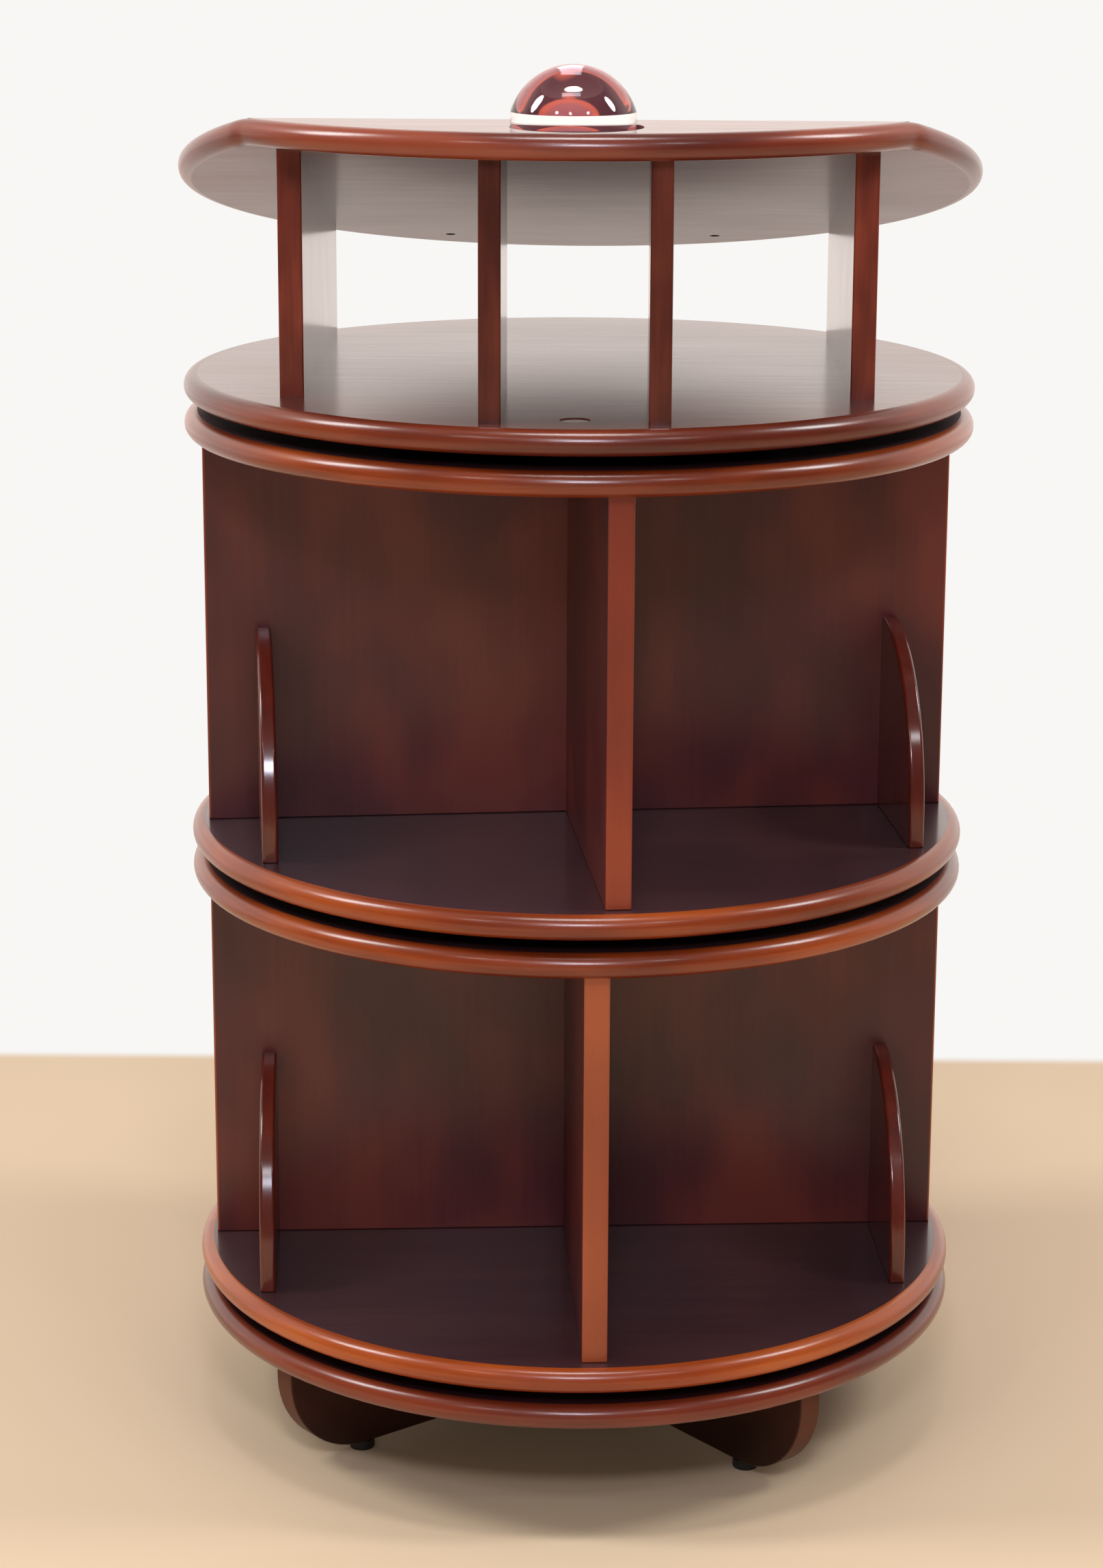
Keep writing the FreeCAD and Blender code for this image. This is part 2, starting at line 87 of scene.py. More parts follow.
# Adds a node, sets its properties, then sets or links its inputs. A node given as an input links its
# first output.
def addNode(tree, kind, settings=None, inputs=None):
    node = tree.nodes.new("ShaderNode" + kind)
    for name, value in (settings or {}).items():
        setattr(node, name, value)
    for name, value in (inputs or {}).items():
        if isinstance(value, bpy.types.Node):
            value = value.outputs[0]
        if isinstance(value, bpy.types.NodeSocket):
            tree.links.new(value, node.inputs[name])
        else:
            node.inputs[name].default_value = value
    return node


def setStops(ramp, stops):
    band = ramp.color_ramp
    while len(band.elements) < len(stops):
        band.elements.new(0.5)
    for element, (place, hexCode) in zip(band.elements, stops):
        element.position = place
        element.color = linearColour(hexCode)


def newMaterial(name):
    material = bpy.data.materials.new(name)
    material.use_nodes = True
    material.node_tree.nodes.clear()
    return material, material.node_tree


# 1 where the value lies within the reach of any of the levels, in metres
def nearLevels(tree, value, levels, reach):
    found = 0.0
    for level in levels:
        near = addNode(tree, "Math", {"operation": "COMPARE"}, {0: value, 1: level, 2: reach})
        found = addNode(tree, "Math", {"operation": "MAXIMUM"}, {0: found, 1: near})
    return found


# Stained mahogany under sprayed satin lacquer. The photograph shows soft streaks and cloudy stain.
# Grain sizes are real ones, except the pores: 0.2 mm wide ones wouldn't show, so they are 1 mm.
veneerLook = {
    "streakWidth": 4 * mm, "streakLength": 160 * mm, "cloudWidth": 110 * mm, "cloudLength": 190 * mm,
    "poreWidth": 1.0 * mm, "poreLength": 16 * mm, "poreDepth": 0.05 * mm, "poreShade": 0.93,
    "cloudShare": 0.93, "roughness": 0.45, "gloss": 0.1, "coat": 0.7, "coatRoughness": 0.3,
    "coatIor": 1.6, "coatStreak": 0.95, "waviness": 0.0}
boardLook = {**veneerLook, "streakWidth": 5 * mm, "streakLength": 120 * mm, "cloudShare": 0.6,
             "coat": 1.0, "coatRoughness": 0.15, "coatIor": 1.5, "coatStreak": 0.87,
             "waviness": 0.006 * mm}
shelfLook = {**boardLook, "gloss": 0.4, "coatStreak": 0.92}
galleryLook = {**boardLook, "coatRoughness": 0.19, "coatStreak": 0.92}
readingLook = {**boardLook, "coat": 0.7, "coatRoughness": 0.18, "waviness": 0.015 * mm}
legLook = {**veneerLook, "coat": 0.2, "coatRoughness": 0.35}
finLook = {**veneerLook, "streakWidth": 2.5 * mm, "streakLength": 60 * mm, "cloudWidth": 30 * mm,
           "cloudLength": 90 * mm, "poreShade": 0.92, "cloudShare": 0.75, "coat": 0.9,
           "coatRoughness": 0.16}
rimLook = {**finLook, "cloudWidth": 40 * mm, "cloudLength": 240 * mm, "cloudShare": 0.85,
           "coat": 1.0, "coatRoughness": 0.24, "coatIor": 1.5}

mahogany = {
    "panel": [(0.36, "#3d1419"), (0.48, "#4a191b"), (0.60, "#5d241d")],
    "shelf": [(0.30, "#2d161b"), (0.50, "#371c21"), (0.68, "#422425")],
    "top": [(0.30, "#45201a"), (0.50, "#552820"), (0.68, "#643227")],
    # The recess: a red patch that is painted light, for the light the dome gathers on the rear wall, in
    # dark maroon
    "recess": [(0.0, "#8a5050"), (0.75, "#8e4c4a"), (0.88, "#ab523e"), (0.96, "#a34a38"),
               (1.0, "#472025")],
    # Divider ends: the lower tier's are painted lighter than the upper tier's, painted light for the
    # stronger light low down
    "upperDivider": [(0.30, "#662211"), (0.50, "#772914"), (0.68, "#86341a")],
    "lowerDivider": [(0.30, "#783419"), (0.50, "#8b4020"), (0.68, "#9b4b27")],
    "innerFin": [(0.36, "#3b1209"), (0.50, "#4b1a0d"), (0.64, "#5b2313")],
    "outerFin": [(0.36, "#551d10"), (0.50, "#6b2716"), (0.64, "#80341e")],
    "stop": [(0.30, "#43140d"), (0.50, "#531b11"), (0.68, "#602217")],
    "topRim": [(0.38, "#4d1b11"), (0.50, "#642617"), (0.62, "#7e3822")],
    "redRim": [(0.38, "#45150b"), (0.50, "#5b200e"), (0.62, "#773013")],
    "orangeRim": [(0.38, "#5f220b"), (0.50, "#7b310f"), (0.62, "#964315")],
    "paleRim": [(0.38, "#7f320f"), (0.50, "#994416"), (0.62, "#ad551e")],
    "brownRim": [(0.38, "#541d10"), (0.50, "#692815"), (0.62, "#7d351a")],
    "leg": [(0.30, "#1f0e0a"), (0.50, "#28120c"), (0.68, "#341811")],
    # The legs' narrow sides, painted paler as painted light
    "legSidesPaintedLight": [(0.30, "#3a1c10"), (0.50, "#4a2617"), (0.68, "#5a3020")],
}

# The three noises of the grain, with the levels between which each one counts
grain = {
    "streak": {"detail": 3.0, "shift": (0, 0, 0), "span": {"From Min": 0.35, "From Max": 0.65}},
    "cloud": {"detail": 2.0, "shift": (3.1, 1.7, 5.3), "span": {"From Min": 0.3, "From Max": 0.7}},
    "pore": {"detail": 1.0, "shift": (7.7, 2.9, 0.4), "span": {"From Min": 0.30, "From Max": 0.42}},
}

# Shades are what a dark joint line, or the painted shade on a face left unpolished in a gap, takes from
# the colour
wood = {"noiseRoughness": 0.55, "roughnessSpread": 0.06, "poreBump": 0.25, "coatBump": 0.3, "ior": 1.5,
        "jointReach": 0.8 * mm, "jointShade": 0.85, "gapReach": 0.6 * mm, "gapPaintedShade": 0.3}

# Past these distances from the middle a panel is a solid strip, and nearer than the leg's lie the
# narrow sides of a leg plank
stripFrom = {"wall": 290.5 * mm, "divider": 284.4 * mm, "leg": 9.2 * mm}


# Grain runs along X of the place. Masks are sockets: where the wood has the second colours, where a
# joint draws a thin dark line, where a face hidden in a gap is unpolished and darkened as painted
# shade, and where a hollow is bare.
def paintMahogany(tree, place, stops, look, secondStops=None, secondMask=None, secondTone=None,
                  jointMask=None, gapPaintedShadeMask=None, bareMask=None):
    noises = {}
    for kind, noise in grain.items():
        length, width = look[kind + "Length"], look[kind + "Width"]
        scaled = addNode(tree, "Mapping", {}, {
            "Vector": place, "Location": noise["shift"], "Scale": (1 / length, 1 / width, 1 / width)})
        noises[kind] = addNode(tree, "TexNoise", {}, {
            "Vector": scaled, "Scale": 1.0, "Detail": noise["detail"],
            "Roughness": wood["noiseRoughness"]})
    tone = addNode(tree, "Math", {"operation": "ADD"}, {
        0: addNode(tree, "Math", {"operation": "MULTIPLY"}, {
            0: noises["cloud"], 1: look["cloudShare"]}),
        1: addNode(tree, "Math", {"operation": "MULTIPLY"}, {
            0: noises["streak"], 1: 1 - look["cloudShare"]})})
    colour = addNode(tree, "ValToRGB", {}, {"Fac": tone})
    setStops(colour, stops)
    if secondMask:
        secondColour = addNode(tree, "ValToRGB", {}, {"Fac": secondTone or tone})
        setStops(secondColour, secondStops)
        colour = addNode(tree, "Mix", {"data_type": "RGBA"}, {
            0: secondMask, 6: colour, 7: secondColour}).outputs[2]
    shade = addNode(tree, "MapRange", {}, {
        "Value": noises["pore"], **grain["pore"]["span"], "To Min": look["poreShade"], "To Max": 1.0})
    coat = addNode(tree, "MapRange", {}, {
        "Value": noises["streak"], **grain["streak"]["span"],
        "To Min": look["coat"] * look["coatStreak"], "To Max": look["coat"]})
    for mask, darker in ((jointMask, wood["jointShade"]), (bareMask, 0.0), (gapPaintedShadeMask, wood["gapPaintedShade"])):
        if mask:
            left = addNode(tree, "Math", {"operation": "MULTIPLY_ADD"}, {0: mask, 1: -darker, 2: 1.0})
            shade = addNode(tree, "Math", {"operation": "MULTIPLY"}, {0: shade, 1: left})
            polished = addNode(tree, "Math", {"operation": "SUBTRACT"}, {0: 1.0, 1: mask})
            coat = addNode(tree, "Math", {"operation": "MULTIPLY"}, {0: coat, 1: polished})
    shaded = addNode(tree, "VectorMath", {"operation": "SCALE"}, {0: colour, "Scale": shade})
    roughness = addNode(tree, "MapRange", {}, {
        "Value": noises["cloud"], **grain["cloud"]["span"],
        "To Min": look["roughness"] - wood["roughnessSpread"],
        "To Max": look["roughness"] + wood["roughnessSpread"]})
    poreBump = addNode(tree, "Bump", {}, {
        "Height": noises["pore"], "Strength": wood["poreBump"], "Distance": look["poreDepth"]})
    coatBump = addNode(tree, "Bump", {}, {
        "Height": noises["streak"], "Strength": wood["coatBump"], "Distance": look["waviness"]})
    shader = addNode(tree, "BsdfPrincipled", {}, {
        "Base Color": shaded, "Roughness": roughness, "Normal": poreBump, "IOR": wood["ior"],
        "Specular IOR Level": look["gloss"], "Coat Weight": coat, "Coat Normal": coatBump,
        "Coat Roughness": look["coatRoughness"], "Coat IOR": look["coatIor"]})
    addNode(tree, "OutputMaterial", {}, {"Surface": shader})


# Object coordinates turned back square to the part, with their three parts
def squarePlace(tree, turn):
    coordinates = addNode(tree, "TexCoord")
    square = addNode(tree, "Mapping", {}, {
        "Vector": coordinates.outputs["Object"], "Rotation": (0, 0, math.radians(-turn))})
    return square, addNode(tree, "SeparateXYZ", {}, {"Vector": square}).outputs


# Upright panel with its grain along Z. Its front end, past the given distance, is a solid strip,
# and a fine dark line shows where it stands on one board and meets another.
def panelMaterial(name, turn, stops, look, joints, endAxis=None, endFrom=0.0, endStops=None):
    material, tree = newMaterial(name)
    square, parts = squarePlace(tree, turn)
    upright = addNode(tree, "Mapping", {}, {"Vector": square, "Rotation": (0, math.radians(90), 0)})
    endMask = None
    if endAxis:
        fromMiddle = addNode(tree, "Math", {"operation": "ABSOLUTE"}, {0: parts[endAxis]})
        endMask = addNode(tree, "Math", {"operation": "GREATER_THAN"}, {0: fromMiddle, 1: endFrom})
    paintMahogany(tree, upright, stops, look, endStops, endMask,
                  jointMask=nearLevels(tree, parts["Z"], joints, wood["jointReach"]))
    return material


# Round board with its grain from left to right
def boardMaterial(name, turn, stops, look, gaps=(), hollow=None):
    material, tree = newMaterial(name)
    square, parts = squarePlace(tree, turn)
    # Faces that look into the swivel gaps: unpolished, and darkened as painted shade
    gapPaintedShadeMask = nearLevels(tree, parts["Z"], gaps, wood["gapReach"])
    hollowMask, paintedCausticTone = 0.0, None
    if hollow:
        plain = addNode(tree, "TexCoord").outputs["Object"]
        for centre in (hollow["centre"], hollow["behind"]):
            away = addNode(tree, "VectorMath", {"operation": "DISTANCE"}, {0: plain, 1: centre})
            inside = addNode(tree, "Math", {"operation": "LESS_THAN"}, {
                0: away.outputs["Value"], 1: hollow["reach"]})
            hollowMask = addNode(tree, "Math", {"operation": "MAXIMUM"}, {0: hollowMask, 1: inside})
        # Painted light: a red patch low on the hollow's rear wall, for the light the glass dome gathers
        # there
        fromPaintedCaustic = addNode(tree, "VectorMath", {"operation": "SUBTRACT"}, {
            0: plain, 1: hollow["paintedCaustic"]})
        squashed = addNode(tree, "VectorMath", {"operation": "DIVIDE"}, {
            0: fromPaintedCaustic, 1: hollow["paintedCausticSize"]})
        paintedCaustic = addNode(tree, "VectorMath", {"operation": "LENGTH"}, {0: squashed})
        paintedCausticTone = addNode(tree, "Math", {"operation": "MINIMUM"}, {
            0: paintedCaustic.outputs["Value"], 1: 1.0})
    paintMahogany(tree, square, stops, look, mahogany["recess"], hollowMask, paintedCausticTone,
                  gapPaintedShadeMask=gapPaintedShadeMask, bareMask=hollowMask)
    return material


# Round solid edge: the grain follows the rim, so X of the place is the length round it
def rimMaterial(name, stops, sloping=False):
    material, tree = newMaterial(name)
    vector = addNode(tree, "TexCoord").outputs["Object"]
    if sloping:
        moved = addNode(tree, "Mapping", {}, {
            "Vector": vector, "Location": (0, -ridge["y"], -ridge["top"])})
        vector = addNode(tree, "Mapping", {}, {
            "Vector": moved, "Rotation": (math.radians(ridge["slope"]), 0, 0),
            "Location": (0, ridge["y"], ridge["top"])})
    parts = addNode(tree, "SeparateXYZ", {}, {"Vector": vector}).outputs
    angle = addNode(tree, "Math", {"operation": "ARCTAN2"}, {0: parts["Y"], 1: parts["X"]})
    flat = addNode(tree, "VectorMath", {"operation": "MULTIPLY"}, {0: vector, 1: (1, 1, 0)})
    fromAxis = addNode(tree, "VectorMath", {"operation": "LENGTH"}, {0: flat})
    place = addNode(tree, "CombineXYZ", {}, {
        "X": addNode(tree, "Math", {"operation": "MULTIPLY"}, {0: angle, 1: boardRadius}),
        "Y": fromAxis.outputs["Value"], "Z": parts["Z"]})
    paintMahogany(tree, place, stops, rimLook)
    return material


# Leg plank: dark stained faces, and narrow sides painted paler: painted light, where light falls on
# them
def legMaterial(name, angle):
    material, tree = newMaterial(name)
    place, parts = squarePlace(tree, angle)
    fromMiddle = addNode(tree, "Math", {"operation": "ABSOLUTE"}, {0: parts["Y"]})
    paintedLightSidesMask = addNode(tree, "Math", {"operation": "LESS_THAN"}, {0: fromMiddle, 1: stripFrom["leg"]})
    paintMahogany(tree, place, mahogany["leg"], legLook, mahogany["legSidesPaintedLight"], paintedLightSidesMask)
    return material


# Metal, plastic and plain wood: one fine speckle drives the colour, roughness and bump. Sizes are
# those of blasting or moulding grain.
speck = {"span": {"From Min": 0.3, "From Max": 0.7}, "shade": (0.9, 1.1), "roughnessSpread": 0.07,
         "detail": 2.0, "bump": 0.3}


def speckledMaterial(name, hexCode, roughness, metallic=0.0, grainSize=0.5 * mm, depth=0.02 * mm):
    material, tree = newMaterial(name)
    coordinates = addNode(tree, "TexCoord")
    speckle = addNode(tree, "TexNoise", {}, {
        "Vector": coordinates.outputs["Object"], "Scale": 1 / grainSize, "Detail": speck["detail"]})
    rough = addNode(tree, "MapRange", {}, {
        "Value": speckle, **speck["span"], "To Min": roughness - speck["roughnessSpread"],
        "To Max": roughness + speck["roughnessSpread"]})
    shade = addNode(tree, "MapRange", {}, {
        "Value": speckle, **speck["span"], "To Min": speck["shade"][0], "To Max": speck["shade"][1]})
    shaded = addNode(tree, "VectorMath", {"operation": "SCALE"}, {
        0: linearColour(hexCode)[:3], "Scale": shade})
    bump = addNode(tree, "Bump", {}, {
        "Height": speckle, "Strength": speck["bump"], "Distance": depth})
    shader = addNode(tree, "BsdfPrincipled", {}, {
        "Base Color": shaded, "Roughness": rough, "Metallic": metallic, "Normal": bump})
    addNode(tree, "OutputMaterial", {}, {"Surface": shader})
    return material


def assign(names, material):
    for name in names:
        slots = cadNodes[name].data.materials
        slots.clear()
        slots.append(material)


def named(*endings):
    return [name for name in cadNodes if name.endswith(endings)]


for tierName, tier in tiers.items():
    turn, joints, ends = tier["turn"], (tier["floor"], tier["roof"]), mahogany[tierName + "Divider"]
    stopNodes = [name for name in cadNodes
                 if name.startswith(tierName + "_stop_") and "dowel" not in name]
    assign([tierName + "_wall"], panelMaterial(
        tierName + "WallVeneer", turn, mahogany["panel"], veneerLook, joints,
        "X", stripFrom["wall"], ends))
    assign([tierName + "_divider_front", tierName + "_divider_rear"], panelMaterial(
        tierName + "DividerVeneer", turn, mahogany["panel"], veneerLook, joints,
        "Y", stripFrom["divider"], ends))
    assign(stopNodes, panelMaterial(
        tierName + "StopMahogany", turn, mahogany["stop"], finLook, joints[:1]))
    assign([tierName + "_shelf", tierName + "_cap"], boardMaterial(
        tierName + "BoardVeneer", turn, mahogany["shelf"], shelfLook, gapFaces[tierName]))

# The recess and a crescent behind it are unpolished. Low on the recess's rear wall a red patch is
# painted light, for the light that the glass dome gathers there, and the glass enlarges it.
recess = {"centre": (-2.5 * mm, -241.5 * mm, 1044 * mm), "behind": (-2.5 * mm, -237.5 * mm, 1044 * mm),
          "reach": 47.3 * mm, "paintedCaustic": (-5.9 * mm, -194.5 * mm, 1044 * mm),
          "paintedCausticSize": (6.4 * mm, 10 * mm, 4.15 * mm)}
for side in ("inner", "outer"):
    assign(["fin_" + side + "_left", "fin_" + side + "_right"], panelMaterial(
        side + "FinMahogany", turns["gallery"], mahogany[side + "Fin"], finLook, ()))
assign(["book_ledge"], boardMaterial(
    "ledgeMahogany", turns["gallery"], mahogany["innerFin"], finLook))
assign(["gallery_base"], boardMaterial(
    "galleryBoardVeneer", turns["gallery"], mahogany["top"], galleryLook, gapFaces["gallery"]))
assign(["top_strip"], boardMaterial(
    "topStripVeneer", turns["gallery"], mahogany["top"], boardLook, hollow=recess))
assign(["reading_board"], boardMaterial(
    "readingBoardVeneer", turns["gallery"], mahogany["top"], readingLook))
assign(["base_disc"], boardMaterial(
    "baseBoardVeneer", turns["base"], mahogany["shelf"], boardLook, gapFaces["base"]))
for place, angle in zip(("under", "over"), legAngles):
    assign(["leg_plank_" + place], legMaterial(place + "LegMahogany", angle))

rimNodes = {"orangeRim": ["lower_cap_lipping", "upper_shelf_lipping", "upper_cap_lipping"],
            "paleRim": ["lower_shelf_lipping"], "brownRim": ["base_disc_lipping"],
            "redRim": ["gallery_base_lipping"], "topRim": ["top_strip_lipping"]}
rims = {}
for rimName, nodes in rimNodes.items():
    rims[rimName] = rimMaterial(rimName + "Mahogany", mahogany[rimName])
    assign(nodes, rims[rimName])
rims["slopingRim"] = rimMaterial("slopingRimMahogany", mahogany["topRim"], True)
assign(["reading_board_lipping"], rims["slopingRim"])

# Black oxide leaves steel dull and nearly black; on the swivel rings this near black is also painted
# shade that keeps the gaps dark. Polished balls mirror, and moulded nylon has a soft sheen. Turned
# beech and a cut birch plug are plain, pale and matt.
blackSteelAndGapShade = speckledMaterial("blackOxideSteel", "#17171a", 0.6, 1.0)
assign(named("_ring", "screws"), blackSteelAndGapShade)
assign(named("balls"), speckledMaterial("polishedBallSteel", "#b9babd", 0.12, 1.0, depth=0.002 * mm))
assign(named("dowels"), speckledMaterial("turnedBeech", "#c9a77a", 0.6, grainSize=1.2 * mm))
blackPlastic = speckledMaterial("mouldedBlackNylon", "#101010", 0.48, grainSize=0.8 * mm)
assign(["foot_glides"], blackPlastic)
assign(["front_plug"], speckledMaterial("paleBirchPlug", "#d2c6b4", 0.6, grainSize=1.5 * mm))
print("finishes assigned")


def startFresh():
    bpy.ops.object.select_all(action="DESELECT")


# The last primitive, with its place moved into its mesh
def newPiece(name):
    piece = bpy.context.object
    piece.name = name
    piece.data.name = name
    bpy.ops.object.transform_apply(location=True, rotation=True, scale=True)
    return piece


def copyPiece(piece, name):
    twin = piece.copy()
    twin.data = piece.data.copy()
    twin.name = twin.data.name = name
    bpy.context.scene.collection.objects.link(twin)
    return twin


def pickFaces(piece, test):
    bpy.ops.mesh.select_mode(type="FACE")
    mesh = bmesh.from_edit_mesh(piece.data)
    for face in mesh.faces:
        face.select_set(test(face.calc_center_median(), face.normal))
    mesh.select_flush_mode()
    bmesh.update_edit_mesh(piece.data)


def pickEdges(piece, test, onlyOpen=False):
    bpy.ops.mesh.select_mode(type="EDGE")
    mesh = bmesh.from_edit_mesh(piece.data)
    for edge in mesh.edges:
        edge.select_set(test(edge.verts[0].co, edge.verts[1].co) and (edge.is_boundary or not onlyOpen))
    bmesh.update_edit_mesh(piece.data)


def pickPoints(piece, test):
    bpy.ops.mesh.select_mode(type="VERT")
    mesh = bmesh.from_edit_mesh(piece.data)
    for point in mesh.verts:
        point.select_set(test(point.co))
    mesh.select_flush_mode()
    bmesh.update_edit_mesh(piece.data)


def closeShell(smoothAngle):
    bpy.ops.mesh.select_all(action="SELECT")
    bpy.ops.mesh.remove_doubles(threshold=0.01 * mm)
    bpy.ops.mesh.normals_make_consistent(inside=False)
    bpy.ops.object.mode_set(mode="OBJECT")
    bpy.ops.object.shade_smooth_by_angle(angle=math.radians(smoothAngle))


# Magnifier: a polished glass dome on a short upright rim. A flat border keeps the shading of its
# underside flat.
dome = {"ball": 46.306 * mm, "ballLift": 0.694 * mm, "segments": 128, "rings": 80, "rim": 14.5 * mm,
        "bottomEdge": 1.0 * mm, "edgeSteps": 8, "border": 0.5 * mm, "smoothAngle": 14}
low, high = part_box("magnifier")
seat = Vector(((low[0] + high[0]) / 2, (low[1] + high[1]) / 2, low[2]))

startFresh()
bpy.ops.mesh.primitive_uv_sphere_add(
    segments=dome["segments"], ring_count=dome["rings"], radius=dome["ball"],
    location=seat + Vector((0, 0, dome["ballLift"])))
glassDome = newPiece("glassMagnifier")
bpy.ops.object.mode_set(mode="EDIT")
bpy.ops.mesh.select_all(action="SELECT")
bpy.ops.mesh.bisect(plane_co=seat + Vector((0, 0, dome["rim"])), plane_no=(0, 0, 1),
                    clear_inner=True, use_fill=False)
bpy.ops.mesh.extrude_region_move(TRANSFORM_OT_translate={"value": (0, 0, -dome["rim"])})
bpy.ops.mesh.edge_face_add()
pickEdges(glassDome, lambda a, b: max(a.z, b.z) < seat.z + tiny)
bpy.ops.mesh.bevel(offset=dome["bottomEdge"], segments=dome["edgeSteps"], affect="EDGES")
pickFaces(glassDome, lambda centre, normal: normal.z < -0.999)
bpy.ops.mesh.inset(thickness=dome["border"], depth=0)
closeShell(dome["smoothAngle"])

# Polished optical glass: perfectly smooth and clear
clearGlass, glassTree = newMaterial("polishedClearGlass")
addNode(glassTree, "OutputMaterial", {}, {"Surface": addNode(glassTree, "BsdfPrincipled", {}, {
    "Base Color": linearColour("#fdfefe"), "Roughness": 0.0, "IOR": 1.5, "Transmission Weight": 1.0})})
glassDome.data.materials.append(clearGlass)
glassDome.visible_shadow = False  # clear glass lets the light through to the wood
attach(glassDome, "magnifier")
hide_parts("magnifier")
print("magnifier made")

# Lippings of the folded top, sanded round the corner where the board folds down. The last four are
# in degrees: one step, the corner from the side, half the easing, and what is shaded smooth.
nose = {"radius": 9.5 * mm, "points": 48, "flat": 0.5 * mm, "reach": 304.9 * mm, "middle": 1038.5 * mm,
        "cornerCuts": 10, "fineness": 1.2, "fold": 36.4, "eased": 2.0, "smoothAngle": 40}


# Half-round nose swept about Z, evenly to both sides of the given direction
def noseArc(name, towards, halfSweep):
    startFresh()
    middle = nose["reach"] - nose["radius"]
    bpy.ops.mesh.primitive_circle_add(
        vertices=nose["points"], radius=nose["radius"], fill_type="NOTHING",
        location=(middle, 0, nose["middle"]), rotation=(math.radians(90), 0, 0))
    arc = newPiece(name)
    bpy.ops.object.mode_set(mode="EDIT")
    pickPoints(arc, lambda place: place.x < middle - tiny)
    bpy.ops.mesh.delete(type="VERT")
    pickPoints(arc, lambda place: place.x < middle + tiny)
    bpy.ops.mesh.extrude_region_move(TRANSFORM_OT_translate={"value": (-nose["flat"], 0, 0)})
    bpy.ops.mesh.edge_face_add()
    bpy.ops.object.mode_set(mode="OBJECT")
    arc.data.transform(Matrix.Rotation(math.radians(towards - halfSweep), 4, "Z"))
    bpy.ops.object.mode_set(mode="EDIT")
    bpy.ops.mesh.select_all(action="SELECT")
    bpy.ops.mesh.spin(steps=round(2 * halfSweep / nose["fineness"]), angle=-math.radians(2 * halfSweep),
                      center=(0, 0, 0), axis=(0, 0, 1))
    bpy.ops.object.mode_set(mode="OBJECT")
    return arc


fold = Vector((0, ridge["y"], ridge["top"]))
slopeTurn = Matrix.Rotation(math.radians(-ridge["slope"]), 4, "X")
slopingArc = noseArc("readingBoardRim", 90, 90 + nose["fold"] - nose["eased"])
slopingArc.data.transform(Matrix.Translation(fold) @ slopeTurn @ Matrix.Translation(-fold))
stripRim = noseArc("topStripRim", -90, 90 - nose["fold"] - nose["eased"])
slopingArc.select_set(True)
bpy.ops.object.join()
bpy.ops.object.mode_set(mode="EDIT")
for side in (-1, 1):
    pickEdges(stripRim, lambda a, b: a.x * side > 0, True)
    bpy.ops.mesh.bridge_edge_loops(type="SINGLE", number_cuts=nose["cornerCuts"],
                                   interpolation="PATH", smoothness=1.0)
closeShell(nose["smoothAngle"])
boardRim = copyPiece(stripRim, "readingBoardRim")
halfSlope = math.radians(ridge["slope"] / 2)
for piece, node, finish, front in ((stripRim, "top_strip_lipping", "topRim", True),
                                   (boardRim, "reading_board_lipping", "slopingRim", False)):
    startFresh()
    bpy.context.view_layer.objects.active = piece
    piece.select_set(True)
    bpy.ops.object.mode_set(mode="EDIT")
    bpy.ops.mesh.select_all(action="SELECT")
    bpy.ops.mesh.bisect(plane_co=fold, plane_no=(0, math.cos(halfSlope), -math.sin(halfSlope)),
                        clear_outer=front, clear_inner=not front, use_fill=True)
    closeShell(nose["smoothAngle"])
    piece.data.transform(Matrix.Rotation(math.radians(turns["gallery"]), 4, "Z"))
    piece.data.materials.append(rims[finish])
    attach(piece, "gallery")
    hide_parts(node)
print("folded top's rims made")

# Foot glides: moulded nylon, with a nail head in the hollow underneath
glide = {"radius": 10 * mm, "height": 8 * mm, "segments": 48, "circle": 216 * mm, "edge": 1.5 * mm,
         "edgeSteps": 5, "hollow": 4.5 * mm, "hollowDepth": 2.0 * mm, "nail": 3 * mm,
         "nailHeight": 0.6 * mm, "smoothAngle": 40,
         "angles": [angle + half for half in (0, 180) for angle in legAngles]}
startFresh()
bpy.ops.mesh.primitive_cylinder_add(
    vertices=glide["segments"], radius=glide["radius"], depth=glide["height"],
    location=(glide["circle"], 0, glide["height"] / 2))
firstGlide = newPiece("footGlide1")
bpy.ops.object.mode_set(mode="EDIT")
pickEdges(firstGlide, lambda a, b: max(a.z, b.z) < tiny)
bpy.ops.mesh.bevel(offset=glide["edge"], segments=glide["edgeSteps"], affect="EDGES")
pickFaces(firstGlide, lambda centre, normal: normal.z < -0.99)
bpy.ops.mesh.inset(thickness=glide["radius"] - glide["edge"] - glide["hollow"], depth=0)
bpy.ops.mesh.extrude_region_move(TRANSFORM_OT_translate={"value": (0, 0, glide["hollowDepth"])})
bpy.ops.mesh.inset(thickness=glide["hollow"] - glide["nail"], depth=0)
bpy.ops.mesh.extrude_region_move(TRANSFORM_OT_translate={"value": (0, 0, -glide["nailHeight"])})
closeShell(glide["smoothAngle"])
firstGlide.data.materials.append(blackPlastic)
firstGlide.data.materials.append(blackSteelAndGapShade)
for face in firstGlide.data.polygons:
    fromMiddle = (face.center - Vector((glide["circle"], 0, face.center.z))).length
    if fromMiddle < glide["nail"] * 1.02:  # a little more takes in the nail head's sides
        face.material_index = 1
glides = [firstGlide] + [copyPiece(firstGlide, "footGlide" + str(number)) for number in (2, 3, 4)]
for piece, angle in zip(glides, glide["angles"]):
    piece.data.transform(Matrix.Rotation(math.radians(angle), 4, "Z"))
    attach(piece, "base")
    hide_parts("foot_glides")
print("foot glides made")

